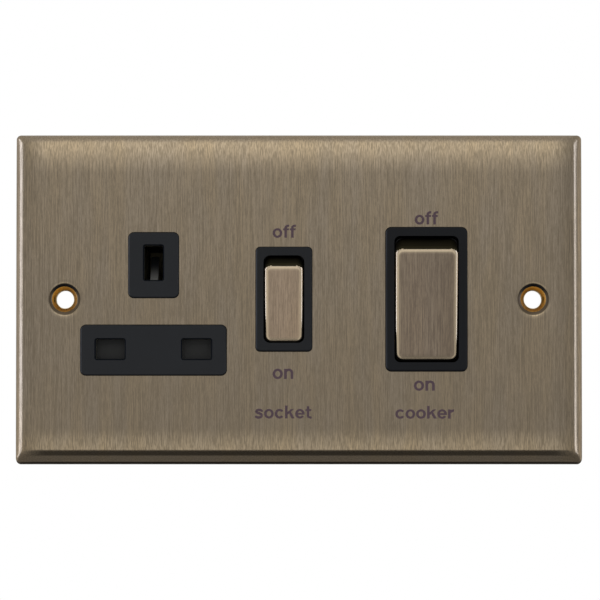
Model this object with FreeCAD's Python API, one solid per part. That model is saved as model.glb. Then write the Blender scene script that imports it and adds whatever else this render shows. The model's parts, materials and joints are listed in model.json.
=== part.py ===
import FreeCAD, Part
import math
import os

# A flush cooker control unit: a two-gang metal plate with one three-pin socket outlet,
# a small rocker switch for the socket and a large double-pole rocker for the cooker.
# Millimetres. +X right, +Y into the wall, +Z up. The origin is midway between the two
# fixing holes, in the plane of the wall. Both rockers are modelled pressed to "on".

V = FreeCAD.Vector

# Front plate: a pressed tray, open to the wall
PLATE_WIDTH = 146.0
PLATE_HEIGHT = 85.0
PLATE_DEPTH = 5.0
SHEET = 1.2
PLATE_CORNER_R = 1.3
PLATE_INNER_R = 0.5
ROLL_WIDTH = 0.5
ROLL_DEPTH = 1.2
BEVEL_WIDTH = 1.1
BEVEL_DEPTH = 1.0
CROWN_END = 10.0
SIDE_CROWN_END = 8.0
CROWN_FALL = 0.7
NO_STRIP = (0.0, 0.0)
LOWER_STRIP = (2.0, 0.8)
FIXING_SPACING = 120.6
FIXING_HOLE_R = 2.3
COUNTERSINK_R = 3.7
COUNTERSINK_LIP_R = 1.0
COLLAR_R = 4.4
CUTOUT_GAP = 0.15

# How far cuts and hidden joins run past a face
PAST = 1.0

# Socket outlet
SOCKET_X = -37.4
SOCKET_Z = -1.74
PIN_PITCH = 22.23
EARTH_BOSS = (12.9, 16.8)
LINE_BOSS = (37.5, 12.9)
EARTH_BOSS_DROP = 0.6
LINE_BOSS_DROP = 0.25
BOSS_R = 1.4
BOSS_PROUD = 0.8
BOSS_EDGE = 0.25
INSERT_LIP = 1.2
INSERT_FLANGE = 2.6
TONGUE_WIDTH = 7.2
TONGUE_LENGTH = 6.8
EARTH_SLOT = (4.8, 8.8)
LINE_SLOT = (7.4, 5.0)
SLOT_LEAD_IN = 0.35
LEAD_IN_DEPTH = 0.8
SLOT_R = 0.35
SLOT_MOUTH_R = 0.7

# Shutter behind the line slots, worked by the earth pin
SHUTTER_THICKNESS = 1.6
SHUTTER_TRAVEL = 6.1
SHUTTER_COVER = 1.05
SHUTTER_SKIRT = 1.65
SHUTTER_OVERHANG = 0.2
SHUTTER_STEM = 6.0
SHUTTER_STEM_TOP = 6.4
FINGER_WIDTH = 2.0
FINGER_BOTTOM = -4.5
FINGER_TOP = 2.0
FINGER_THICKNESS = 1.8
FINGER_ROOT = 0.45
SPRING_SEAT = (4.0, 1.0)
SPRING_SEAT_DEPTH = 3.7
SHUTTER_SPRING_LENGTH = 8.5
SHUTTER_SPRING_R = 1.4
SHUTTER_GAP = 0.1
SHUTTER_WELL_GAP = 0.3

# Springs
SPRING_WIRE = 0.4
SPRING_STEPS = 8
SHUTTER_SPRING_TURNS = 5
PLUNGER_SPRING_TURNS = 4

# Rear base and cover
BASE_CORNER_R = 2.0
TERMINAL_WALL = 0.8
BAR_LEVEL = 19.2
BAR_THICKNESS = 1.0
LINK_RISE = 1.6
BASE_BACK = 22.2
COVER_THICKNESS = 2.0
TRAY_WALL = 2.0
TRAY_SILL = 1.5
TRAY_CORNER_R = 0.8
WELL_GAP = 0.2

# Plate pillars and assembly screws
PILLAR_R = 2.3
PILLAR_END = 4.0
PILLAR_BORE_DEPTH = 5.0
PILLAR_TO_FRAME = 1.45
PILLAR_EDGE = (5.5, 3.6)
SCREW_R = 1.45
SCREW_HOLE_R = 1.5
SCREW_CLEARANCE_R = 1.7
SCREW_GRIP = 4.5
SCREW_HEAD_R = 2.8
SCREW_HEAD_HEIGHT = 1.8
SCREW_SLOT = (0.8, 0.9)

# Contact clips
CLIP_THICKNESS = 0.6
CLIP_FRONT = 3.6
CLIP_FLARE = 0.9
CLIP_FLARE_LENGTH = 2.2
EARTH_CLIP = (1.95, 7.6)
LINE_CLIP = (1.95, 6.3)
CLIP_WELL_GAP = 0.7

# Terminals
TERMINAL_WIDTH = 8.4
TERMINAL_Z = 25.0
TERMINAL_FRONT = 12.0
TERMINAL_BORE_R = 3.0
TERMINAL_BORE_DEPTH = 4.0
TERMINAL_SCREW_R = 1.95
TERMINAL_SCREW_HOLE_R = 2.0
TERMINAL_SCREW_PROUD = 0.6
TERMINAL_ACCESS_R = 2.4
TERMINAL_GAP = 0.3
TERMINAL_FRONT_GAP = 0.1
EARTH_TERMINAL_XS = (-13.0, -24.0)
BAR_WIDTH = 6.0
LINK_WIDTH = 5.0
LIVE_BAR_WIDTH = 4.0

# Rocker switches
THROW = 8.9
ARM_RATIO = 0.8
CAP_THICKNESS = 0.8
CAP_SKIRT = 5.0
CAP_GAP = 0.05
BEZEL_PROUD = 1.2
BEZEL_LIP = 1.0
BEZEL_FLANGE = 1.5
BEZEL_EDGE = 0.3
BEZEL_BACK = 3.0
BEZEL_RELIEF = 0.4
PIVOT_PIN_R = 1.5
PIVOT_BORE_R = 1.55
PIVOT_PIN_LENGTH = 1.8
ROCKER_KEEL = 5.0
ROCKER_BACK = 2.6
ROCKER_SHOULDER = 1.0
ROCKER_EDGE = 0.6
PLUNGER_FIT = 0.05
PLUNGER_WALL = 0.7
PLUNGER_NOSE = 25.0
RIDGE_R = 0.3
RIDGE_NECK = 0.4
RIDGE_FOOT = 1.2
GROOVE_R = 0.34
RIVET_R = 1.5
RIVET_HEIGHT = 0.5
RIVET_INSET = 2.0
RIVET_GAP = 0.02

SOCKET_SWITCH = {
    "x": -3.87, "pivot_y": -0.3, "bezel": (14.4, 26.8), "bezel_r": 1.1,
    "opening": (10.5, 22.5), "opening_r": 1.7, "face": (9.7, 19.98), "face_height": 6.61,
    "face_r": 1.25, "poles": (0.0,), "plunger_r": 1.15, "guide_end": 5.0,
    "plunger_start": 2.4, "spring_start": -2.2, "plunger_reach": 7.5, "arm": (4.4, 6.6),
    "arm_thickness": 0.8, "well": (10.4, 19.0),
}
COOKER_SWITCH = {
    "x": 32.8, "pivot_y": 0.5, "bezel": (20.9, 37.0), "bezel_r": 1.4,
    "opening": (16.55, 32.5), "opening_r": 1.5, "face": (15.9, 29.1), "face_height": 8.0,
    "face_r": 1.6, "poles": (-5.0, 5.0), "plunger_r": 1.45, "guide_end": 6.5,
    "plunger_start": 3.2, "spring_start": -2.5, "plunger_reach": 9.5, "arm": (5.0, 9.0),
    "arm_thickness": 1.0, "well": (17.6, 25.0),
}

# Places worked out from the sizes above
SWITCHES = (SOCKET_SWITCH, COOKER_SWITCH)
FACE_Y = -PLATE_DEPTH
SHEET_BACK = FACE_Y + SHEET
BASE_FRONT = SHEET_BACK + INSERT_FLANGE
EARTH_Z = SOCKET_Z + PIN_PITCH / 2
LINE_Z = SOCKET_Z - PIN_PITCH / 2
LINE_XS = (SOCKET_X - PIN_PITCH / 2, SOCKET_X + PIN_PITCH / 2)
LINK_LEVEL = BAR_LEVEL + LINK_RISE
TERMINAL_BACK = BASE_BACK - TERMINAL_GAP / 2
COVER_BACK = BASE_BACK + COVER_THICKNESS
FRAME_REACH = max(s["x"] + s["bezel"][0] / 2 for s in SWITCHES) + BEZEL_FLANGE
PILLAR_X = FRAME_REACH + PILLAR_TO_FRAME + PILLAR_R
BASE_WIDTH = 2 * (PILLAR_X + PILLAR_EDGE[0])
BASE_HEIGHT = 2 * (TERMINAL_Z + TERMINAL_WIDTH / 2 + TERMINAL_WALL)
PILLAR_Z = BASE_HEIGHT / 2 - PILLAR_EDGE[1]
TRAY_HALF_HEIGHT = TERMINAL_Z - TERMINAL_WIDTH / 2 - TERMINAL_GAP - TRAY_SILL


def block(x0, x1, y0, y1, z0, z1):
    """A box between two corners."""
    return Part.makeBox(x1 - x0, y1 - y0, z1 - z0, V(x0, y0, z0))


def rod(radius, start, end):
    """A round bar between two points."""
    return Part.makeCylinder(radius, (end - start).Length, start, end - start)


def rounded_outline(x, z, width, height, radius, y):
    """A rectangle with round corners, lying in the plane at depth y."""
    left, right = x - width / 2, x + width / 2
    low, high = z - height / 2, z + height / 2
    edges = []
    corners = (
        (right - radius, low + radius, -90), (right - radius, high - radius, 0),
        (left + radius, high - radius, 90), (left + radius, low + radius, 180),
    )
    previous = None
    first = None
    for cx, cz, start in corners:
        points = []
        for degrees in (start, start + 45, start + 90):
            angle = math.radians(degrees)
            points.append(V(cx + radius * math.cos(angle), y, cz + radius * math.sin(angle)))
        if previous is not None:
            edges.append(Part.LineSegment(previous, points[0]).toShape())
        else:
            first = points[0]
        edges.append(Part.Arc(*points).toShape())
        previous = points[2]
    edges.append(Part.LineSegment(previous, first).toShape())
    return Part.Wire(edges)


def slab(x, z, width, height, radius, y0, y1):
    """A rounded rectangle carried from depth y0 to depth y1."""
    face = Part.Face(rounded_outline(x, z, width, height, radius, y0))
    return face.extrude(V(0, y1 - y0, 0))


def flat_strip(points, y0, thickness):
    """A flat strip cut to an outline of (x, z) points."""
    wire = Part.makePolygon([V(x, y0, z) for x, z in points + points[:1]])
    return Part.Face(wire).extrude(V(0, thickness, 0))


def side_profile(points, x0, width):
    """A straight-edged section of (y, z) points, carried along X."""
    wire = Part.makePolygon([V(x0, y, z) for y, z in points + points[:1]])
    return Part.Face(wire).extrude(V(width, 0, 0))


def fused(first, *others):
    """One clean solid out of pieces that overlap."""
    return first.multiFuse(list(others)).removeSplitter()


def front_edges(shape, y):
    """The edges of a shape that lie in the plane at depth y."""
    small = 1e-4
    return [
        e for e in shape.Edges
        if abs(e.BoundBox.YMin - y) < small and abs(e.BoundBox.YMax - y) < small
    ]


def spring(start, direction, length, radius, turns):
    """A coil spring: a square wire carried round its axis in even steps."""
    axis = FreeCAD.Rotation(V(0, 0, 1), direction)
    half = SPRING_WIRE / 2
    rise = (length - SPRING_WIRE) / (turns * SPRING_STEPS)
    sections = []
    for step in range(turns * SPRING_STEPS + 1):
        angle = 2 * math.pi * step / SPRING_STEPS
        corners = []
        for out, up in ((-half, 0), (half, 0), (half, SPRING_WIRE), (-half, SPRING_WIRE)):
            reach = radius + out
            local = V(reach * math.cos(angle), reach * math.sin(angle), step * rise + up)
            corners.append(start + axis.multVec(local))
        sections.append(Part.makePolygon(corners + corners[:1]))
    return Part.makeLoft(sections, True, True)


def edge_points(depth, strip, flat_start):
    """Inset and depth of the rim, roll, bevel, strip and crown of one plate edge, from outside."""
    crown_end = (flat_start, -depth)
    strip_end = (ROLL_WIDTH + BEVEL_WIDTH + strip[0], CROWN_FALL - depth)
    bevel_end = (ROLL_WIDTH + BEVEL_WIDTH, strip_end[1] + strip[1])
    roll_end = (ROLL_WIDTH, bevel_end[1] + BEVEL_DEPTH)
    roll_start = (0.0, roll_end[1] + ROLL_DEPTH)
    roll_mid = (ROLL_WIDTH / 4, (roll_start[1] + roll_end[1]) / 2)
    crown_mid = ((strip_end[0] + crown_end[0]) / 2, CROWN_FALL / 4 - depth)
    return roll_start, roll_mid, roll_end, bevel_end, strip_end, crown_mid, crown_end


def plate_section(half, depth, across, strips, flat_start):
    """The closed section of the pressed plate over one direction, as a flat face."""
    def place(u, y):
        return V(u, y, -PLATE_WIDTH) if across == "x" else V(-PLATE_WIDTH, y, u)

    edges = []
    for side, strip in zip((-1, 1), strips):
        points = [place(side * (half - inset), y) for inset, y in edge_points(depth, strip, flat_start)]
        roll_start, roll_mid, roll_end, bevel_end, strip_end, crown_mid, crown_end = points
        edges.append(Part.LineSegment(place(side * half, 0.0), roll_start).toShape())
        edges.append(Part.Arc(roll_start, roll_mid, roll_end).toShape())
        edges.append(Part.LineSegment(roll_end, bevel_end).toShape())
        if strip != NO_STRIP:
            edges.append(Part.LineSegment(bevel_end, strip_end).toShape())
        edges.append(Part.Arc(strip_end, crown_mid, crown_end).toShape())
    flat = half - flat_start
    edges.append(Part.LineSegment(place(-flat, -depth), place(flat, -depth)).toShape())
    edges.append(Part.LineSegment(place(-half, 0.0), place(half, 0.0)).toShape())
    return Part.Face(Part.Wire(Part.__sortEdges__(edges)))


def plate_form(width, height, depth, corner):
    """Two crossed pressings share their common form, which mitres the bevel's corners."""
    run = 2 * PLATE_WIDTH
    side_section = plate_section(width / 2, depth, "x", (NO_STRIP, NO_STRIP), SIDE_CROWN_END)
    end_section = plate_section(height / 2, depth, "z", (LOWER_STRIP, NO_STRIP), CROWN_END)
    over_x = side_section.extrude(V(0, 0, run))
    over_z = end_section.extrude(V(run, 0, 0))
    blank = slab(0, 0, width, height, corner, -depth, 0)
    return over_x.common(over_z).common(blank)


def boss_places():
    """Centre height and size of the earth boss and of the line boss."""
    return (
        (EARTH_Z - EARTH_BOSS_DROP, EARTH_BOSS),
        (LINE_Z - LINE_BOSS_DROP, LINE_BOSS),
    )


def front_plate():
    """The pressed plate, with soft lips at its fixing holes and a collar to the wall behind each."""
    shell = plate_form(PLATE_WIDTH, PLATE_HEIGHT, PLATE_DEPTH, PLATE_CORNER_R)
    inside = plate_form(
        PLATE_WIDTH - 2 * SHEET, PLATE_HEIGHT - 2 * SHEET, PLATE_DEPTH - SHEET, PLATE_INNER_R
    )
    shell = shell.cut(inside)
    for side in (-1, 1):
        x = side * FIXING_SPACING / 2
        shell = shell.fuse(rod(COLLAR_R, V(x, SHEET_BACK - SHEET / 2, 0), V(x, 0, 0)))
        shell = shell.cut(rod(FIXING_HOLE_R, V(x, FACE_Y - PAST, 0), V(x, PAST, 0)))
        sink_depth = COUNTERSINK_R - FIXING_HOLE_R
        sink = Part.makeCone(COUNTERSINK_R, FIXING_HOLE_R, sink_depth, V(x, FACE_Y, 0), V(0, 1, 0))
        shell = shell.cut(sink)
    lips = [
        e for e in front_edges(shell, FACE_Y)
        if isinstance(e.Curve, Part.Circle) and math.isclose(e.Curve.Radius, COUNTERSINK_R)
    ]
    shell = shell.makeFillet(COUNTERSINK_LIP_R, lips)
    for z, (width, height) in boss_places():
        shell = shell.cut(slab(
            SOCKET_X, z, width + 2 * CUTOUT_GAP, height + 2 * CUTOUT_GAP, BOSS_R + CUTOUT_GAP, FACE_Y - PAST, 0
        ))
    for switch in SWITCHES:
        width, height = switch["bezel"]
        shell = shell.cut(slab(
            switch["x"], 0, width + 2 * CUTOUT_GAP, height + 2 * CUTOUT_GAP,
            switch["bezel_r"] + CUTOUT_GAP, FACE_Y - PAST, 0
        ))
    return shell.removeSplitter()


def slot_cut(x, z, size):
    """A pin slot right through the insert, with a sloped lead-in at its mouth."""
    width, height = size
    mouth_y = FACE_Y - BOSS_PROUD
    through = slab(x, z, width, height, SLOT_R, mouth_y - PAST, BASE_FRONT + PAST)
    outer = rounded_outline(
        x, z, width + 2 * SLOT_LEAD_IN, height + 2 * SLOT_LEAD_IN, SLOT_MOUTH_R, mouth_y
    )
    inner = rounded_outline(x, z, width, height, SLOT_R, mouth_y + LEAD_IN_DEPTH)
    return through.fuse(Part.makeLoft([outer, inner], True, True))


def socket_insert():
    """The black moulding of the outlet: two bosses on a T-shaped flange behind the plate."""
    body = None
    for z, (width, height) in boss_places():
        boss = slab(SOCKET_X, z, width, height, BOSS_R, FACE_Y - BOSS_PROUD, BASE_FRONT)
        boss = boss.makeChamfer(BOSS_EDGE, front_edges(boss, FACE_Y - BOSS_PROUD))
        flange = slab(
            SOCKET_X, z, width + 2 * INSERT_LIP, height + 2 * INSERT_LIP, BOSS_R, SHEET_BACK, BASE_FRONT
        )
        piece = boss.fuse(flange)
        body = piece if body is None else body.fuse(piece)
    low = LINE_Z - LINE_BOSS_DROP - LINE_BOSS[1] / 2 - INSERT_LIP
    tongue = block(
        SOCKET_X - TONGUE_WIDTH / 2, SOCKET_X + TONGUE_WIDTH / 2, SHEET_BACK, BASE_FRONT,
        low - TONGUE_LENGTH, low + PAST
    )
    neck_half = EARTH_BOSS[0] / 2 + INSERT_LIP
    neck = block(SOCKET_X - neck_half, SOCKET_X + neck_half, SHEET_BACK, BASE_FRONT, LINE_Z, EARTH_Z)
    body = body.fuse(tongue).fuse(neck)
    body = body.cut(slot_cut(SOCKET_X, EARTH_Z, EARTH_SLOT))
    for x in LINE_XS:
        body = body.cut(slot_cut(x, LINE_Z, LINE_SLOT))
    return body.removeSplitter()


def shutter_span():
    """Ends of the shutter's cross bar along X, and its lower and upper edge."""
    left = LINE_XS[0] - LINE_SLOT[0] / 2 - SHUTTER_OVERHANG
    right = LINE_XS[1] + LINE_SLOT[0] / 2 + SHUTTER_OVERHANG
    low = LINE_Z - LINE_SLOT[1] / 2 - SHUTTER_SKIRT
    high = LINE_Z + LINE_SLOT[1] / 2 + SHUTTER_COVER
    return left, right, low, high


def shutter():
    """A sliding bar that closes both line slots, with a ramp in the way of the earth pin."""
    left, right, low, high = shutter_span()
    front = BASE_FRONT + SHUTTER_GAP
    back = front + SHUTTER_THICKNESS
    bar = block(left, right, front, back, low, high)
    stem_top = EARTH_Z - SHUTTER_STEM_TOP
    stem = block(SOCKET_X - SHUTTER_STEM / 2, SOCKET_X + SHUTTER_STEM / 2, front, back, high - PAST, stem_top)
    ramp_low = EARTH_Z + FINGER_BOTTOM
    ramp_high = EARTH_Z + FINGER_TOP
    depth = ramp_high - ramp_low
    finger = side_profile(
        [
            (front, stem_top - PAST), (front, ramp_low), (front + depth, ramp_high),
            (front + depth + FINGER_THICKNESS, ramp_high), (back, ramp_low - FINGER_ROOT),
            (back, stem_top - PAST),
        ],
        SOCKET_X - FINGER_WIDTH / 2, FINGER_WIDTH
    )
    seat_width, seat_height = SPRING_SEAT
    seat = block(
        SOCKET_X - seat_width / 2, SOCKET_X + seat_width / 2, front, front + SPRING_SEAT_DEPTH,
        low - seat_height, low + PAST
    )
    return fused(bar, stem, finger, seat)


def shutter_spring():
    """The compression spring that lifts the shutter shut."""
    low = shutter_span()[2] - SPRING_SEAT[1]
    y = BASE_FRONT + SHUTTER_GAP + SPRING_SEAT_DEPTH / 2
    foot = V(SOCKET_X, y, low - SHUTTER_SPRING_LENGTH)
    return spring(foot, V(0, 0, 1), SHUTTER_SPRING_LENGTH, SHUTTER_SPRING_R, SHUTTER_SPRING_TURNS)


def switch_radius(switch):
    """Distance from the rocker's pivot to its end walls."""
    return math.hypot(switch["face"][1] / 2, switch["face_height"])


def fulcrum_y(switch):
    """Depth of the knife edge that the rocking contact tips on."""
    stack = switch["plunger_reach"] + switch["arm_thickness"] + switch["plunger_r"] + PLUNGER_FIT
    return switch["pivot_y"] + stack


def switch_bezel(switch):
    """A black surround that passes through the plate and carries the rocker's pivots."""
    x = switch["x"]
    front = FACE_Y - BEZEL_PROUD
    back = switch["pivot_y"] + BEZEL_BACK
    width, height = switch["bezel"]
    tube = slab(x, 0, width, height, switch["bezel_r"], front, back)
    tube = tube.makeChamfer(BEZEL_EDGE, front_edges(tube, front))
    flange = slab(
        x, 0, width + 2 * BEZEL_FLANGE, height + 2 * BEZEL_FLANGE, switch["bezel_r"], SHEET_BACK, BASE_FRONT
    )
    open_width, open_height = switch["opening"]
    opening = slab(x, 0, open_width, open_height, switch["opening_r"], front - PAST, back + PAST)
    relief_half = switch_radius(switch) + BEZEL_RELIEF
    relief = block(
        x - open_width / 2, x + open_width / 2, front + BEZEL_LIP, back + PAST, -relief_half, relief_half
    )
    bore = rod(PIVOT_BORE_R, V(x - width, switch["pivot_y"], 0), V(x + width, switch["pivot_y"], 0))
    return tube.fuse(flange).cut(opening).cut(relief).cut(bore).removeSplitter()


def rocker_form(switch, inset):
    """The rocker's form, or the plain form set in from it by a thickness, before it is tilted."""
    radius = switch_radius(switch) - inset
    height = switch["face_height"] - inset
    half = math.sqrt(radius * radius - height * height)
    width = switch["face"][0] - 2 * inset
    x0 = switch["x"] - width / 2
    shoulder = math.sqrt(radius * radius - ROCKER_SHOULDER * ROCKER_SHOULDER)
    middle = (math.atan2(half, height) + math.atan2(shoulder, ROCKER_SHOULDER)) / 2
    y_mid, z_mid = -radius * math.cos(middle), radius * math.sin(middle)

    def at(y, z):
        return V(x0, switch["pivot_y"] + y, z)

    edges = [
        Part.LineSegment(at(-height, -half), at(-height, half)).toShape(),
        Part.Arc(at(-height, half), at(y_mid, z_mid), at(-ROCKER_SHOULDER, shoulder)).toShape(),
        Part.LineSegment(at(-ROCKER_SHOULDER, shoulder), at(ROCKER_BACK, ROCKER_KEEL)).toShape(),
        Part.LineSegment(at(ROCKER_BACK, ROCKER_KEEL), at(ROCKER_BACK, -ROCKER_KEEL)).toShape(),
        Part.LineSegment(at(ROCKER_BACK, -ROCKER_KEEL), at(-ROCKER_SHOULDER, -shoulder)).toShape(),
        Part.Arc(at(-ROCKER_SHOULDER, -shoulder), at(y_mid, -z_mid), at(-height, -half)).toShape(),
    ]
    return Part.Face(Part.Wire(edges)).extrude(V(width, 0, 0))


def rounded_rocker(switch):
    """The rocker's outside, with round corners and a soft edge round its face."""
    form = rocker_form(switch, 0.0)
    walls = [e for e in form.Edges if isinstance(e.Curve, Part.Circle)]
    form = form.makeFillet(switch["face_r"], walls)
    return form.makeFillet(ROCKER_EDGE, front_edges(form, switch["pivot_y"] - switch["face_height"]))


def tilted(switch, shape):
    """A piece of the rocker, turned to the switch's on position."""
    turned = shape.copy()
    turned.rotate(V(0, switch["pivot_y"], 0), V(1, 0, 0), THROW)
    return turned


def cap_zone(switch):
    """The space in front of the line where the metal cap's skirt ends."""
    face_y = switch["pivot_y"] - switch["face_height"]
    width, length = switch["face"]
    x = switch["x"]
    return block(x - width, x + width, face_y - PAST, face_y + CAP_SKIRT, -length, length)


def rocker_cap(switch):
    """The metal finished skin over the rocker's face and end walls."""
    skin = rounded_rocker(switch).common(cap_zone(switch)).cut(rocker_form(switch, CAP_THICKNESS))
    return tilted(switch, skin)


def rocker_body(switch):
    """The moulded rocker under the cap, with its pivot pins and plunger guides."""
    x, pivot = switch["x"], switch["pivot_y"]
    width = switch["face"][0]
    core = rocker_form(switch, CAP_THICKNESS + CAP_GAP)
    skirt = rounded_rocker(switch).cut(cap_zone(switch))
    pieces = [skirt]
    for side in (-1, 1):
        root = V(x + side * (width / 2 - PAST), pivot, 0)
        tip = V(x + side * (width / 2 + PIVOT_PIN_LENGTH), pivot, 0)
        pieces.append(rod(PIVOT_PIN_R, root, tip))
    hole_r = switch["plunger_r"] + PLUNGER_FIT
    for pole in switch["poles"]:
        start, end = V(x + pole, pivot, 0), V(x + pole, pivot + switch["guide_end"], 0)
        pieces.append(rod(hole_r + PLUNGER_WALL, start, end))
    body = fused(core, *pieces)
    for pole in switch["poles"]:
        start = V(x + pole, pivot + switch["spring_start"], 0)
        end = V(x + pole, pivot + switch["guide_end"] + PAST, 0)
        body = body.cut(rod(hole_r, start, end))
    return tilted(switch, body)


def plunger(switch, pole):
    """A pin with a low round nose, turned in one, that the rocker drags over its contact."""
    x, radius = switch["x"] + pole, switch["plunger_r"]
    start, tip = switch["pivot_y"] + switch["plunger_start"], switch["pivot_y"] + switch["plunger_reach"]
    slope = math.radians(PLUNGER_NOSE)
    nose_r, nose_y = radius * math.sin(slope), tip + radius * math.cos(slope)
    shoulder_y = nose_y - (radius - nose_r) * math.tan(slope)
    half_nose = V(x + radius * math.sin(slope / 2), tip + radius * math.cos(slope / 2), 0)
    corners = [V(x, start, 0), V(x + radius, start, 0), V(x + radius, shoulder_y, 0), V(x + nose_r, nose_y, 0)]
    point = V(x, tip + radius, 0)
    edges = [Part.LineSegment(a, b).toShape() for a, b in zip(corners, corners[1:])]
    edges.append(Part.Arc(corners[-1], half_nose, point).toShape())
    edges.append(Part.LineSegment(point, corners[0]).toShape())
    pin = Part.Face(Part.Wire(edges)).revolve(V(x, 0, 0), V(0, 1, 0), 360)
    return tilted(switch, pin)


def plunger_spring(switch, pole):
    """The spring behind a plunger, in the rocker's guide."""
    start = V(switch["x"] + pole, switch["pivot_y"] + switch["spring_start"], 0)
    length = switch["plunger_start"] - switch["spring_start"]
    radius = switch["plunger_r"] - SPRING_WIRE
    return tilted(switch, spring(start, V(0, 1, 0), length, radius, PLUNGER_SPRING_TURNS))


def rocking_contact(switch, pole):
    """A brass see-saw arm with a pivot groove and a rivet at its upper end, tipped to on."""
    width, half = switch["arm"]
    x, y = switch["x"] + pole, fulcrum_y(switch)
    strip = block(x - width / 2, x + width / 2, y - switch["arm_thickness"], y, -half, half)
    rivet_z = half - RIVET_INSET
    rivet = rod(RIVET_R, V(x, y - switch["arm_thickness"] / 2, rivet_z), V(x, y + RIVET_HEIGHT, rivet_z))
    groove = rod(GROOVE_R, V(x - width, y, 0), V(x + width, y, 0))
    arm = fused(strip, rivet).cut(groove)
    arm.rotate(V(0, y, 0), V(1, 0, 0), -THROW * ARM_RATIO)
    return arm


def fixed_pad(switch, pole):
    """The fixed rivet that the rocking contact's rivet closes on, square to it."""
    x, y = switch["x"] + pole, fulcrum_y(switch)
    rivet_z = switch["arm"][1] - RIVET_INSET
    start = y + RIVET_HEIGHT + RIVET_GAP
    pad = rod(RIVET_R, V(x, start, rivet_z), V(x, start + 2 * RIVET_HEIGHT, rivet_z))
    pad.rotate(V(0, y, 0), V(1, 0, 0), -THROW * ARM_RATIO)
    return pad


def ridge_post(switch, pole):
    """A post on a bar, with the rounded ridge that the rocking contact tips on."""
    width = switch["arm"][0]
    x0, y = switch["x"] + pole - width / 2, fulcrum_y(switch)
    ridge = rod(RIDGE_R, V(x0, y, 0), V(x0 + width, y, 0))
    neck_y = y + RIDGE_NECK
    flare_y = neck_y + RIDGE_FOOT - RIDGE_R
    half_section = [(y, RIDGE_R), (neck_y, RIDGE_R), (flare_y, RIDGE_FOOT), (BAR_LEVEL, RIDGE_FOOT)]
    section = half_section + [(depth, -half) for depth, half in reversed(half_section)]
    return fused(side_profile(section, x0, width), ridge)


def pad_leg(switch, pole):
    """The leg that carries the fixed rivet forward from its bar, with the rivet."""
    width, half = switch["arm"]
    x0 = switch["x"] + pole - width / 2
    rivet_z = half - RIVET_INSET
    lean = math.sin(math.radians(THROW * ARM_RATIO)) * rivet_z
    start = fulcrum_y(switch) + RIVET_HEIGHT * 2 + RIVET_GAP + lean
    leg = block(x0, x0 + width, start, BAR_LEVEL, rivet_z - RIVET_R / 2, rivet_z + RIVET_R / 2)
    return leg.fuse(fixed_pad(switch, pole))


def terminal_edge(side):
    """Height of a terminal's inner face, where its bar meets it."""
    return side * (TERMINAL_Z - TERMINAL_WIDTH / 2)


def supply_bar(switch, pole):
    """A bar from a supply terminal up to the pivot ridge of one pole."""
    x = switch["x"] + pole
    strip = block(
        x - BAR_WIDTH / 2, x + BAR_WIDTH / 2, BAR_LEVEL, BAR_LEVEL + BAR_THICKNESS,
        terminal_edge(-1), 2 * RIDGE_FOOT
    )
    return fused(strip, ridge_post(switch, pole))


def load_bar(switch, pole):
    """A bar from the fixed rivet of one pole up to its load terminal."""
    x = switch["x"] + pole
    low = switch["arm"][1] - RIVET_INSET - RIVET_R
    strip = block(
        x - BAR_WIDTH / 2, x + BAR_WIDTH / 2, BAR_LEVEL, BAR_LEVEL + BAR_THICKNESS, low, terminal_edge(1)
    )
    return fused(strip, pad_leg(switch, pole))


def socket_feed_bar():
    """The bar that feeds the socket switch from the live supply bar."""
    half = BAR_WIDTH / 2
    x = SOCKET_SWITCH["x"]
    join = COOKER_SWITCH["x"] + COOKER_SWITCH["poles"][0] - half
    low = -TRAY_HALF_HEIGHT + TERMINAL_GAP
    outline = [
        (x - half, low), (join, low), (join, low + LINK_WIDTH), (x + half, low + LINK_WIDTH),
        (x + half, 2 * RIDGE_FOOT), (x - half, 2 * RIDGE_FOOT),
    ]
    return fused(flat_strip(outline, BAR_LEVEL, BAR_THICKNESS), ridge_post(SOCKET_SWITCH, 0.0))


def socket_live_bar():
    """The bar from the socket switch over the earth contact and down to the live contact."""
    half = BAR_WIDTH / 2
    x, far = SOCKET_SWITCH["x"], LINE_XS[0]
    top = TRAY_HALF_HEIGHT - TERMINAL_GAP
    under = top - LIVE_BAR_WIDTH
    low = SOCKET_SWITCH["arm"][1] - RIVET_INSET - RIVET_R
    foot = LINE_Z - half
    outline = [
        (x - half, low), (x + half, low), (x + half, top), (far - half, top), (far - half, foot),
        (far + half, foot), (far + half, under), (x - half, under),
    ]
    return fused(flat_strip(outline, BAR_LEVEL, BAR_THICKNESS), pad_leg(SOCKET_SWITCH, 0.0))


def neutral_link():
    """A raised link from the neutral supply bar over the live bars to the neutral contact."""
    near = COOKER_SWITCH["x"] + COOKER_SWITCH["poles"][1]
    half = LINK_WIDTH / 2
    strip = block(
        LINE_XS[1] - half, near + half, LINK_LEVEL, LINK_LEVEL + BAR_THICKNESS, LINE_Z - half, LINE_Z + half
    )
    foot = block(
        near - half, near + half, BAR_LEVEL + BAR_THICKNESS, LINK_LEVEL, LINE_Z - half, LINE_Z + half
    )
    return fused(strip, foot)


def earth_bar():
    """The raised bar that joins the earth contact to both earth terminals."""
    half = LINK_WIDTH / 2
    back = LINK_LEVEL + BAR_THICKNESS
    run = block(
        SOCKET_X - half, max(EARTH_TERMINAL_XS) + half, LINK_LEVEL, back, EARTH_Z - half, EARTH_Z + half
    )
    prongs = [block(x - half, x + half, LINK_LEVEL, back, EARTH_Z, terminal_edge(1)) for x in EARTH_TERMINAL_XS]
    return fused(run, *prongs)


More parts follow.
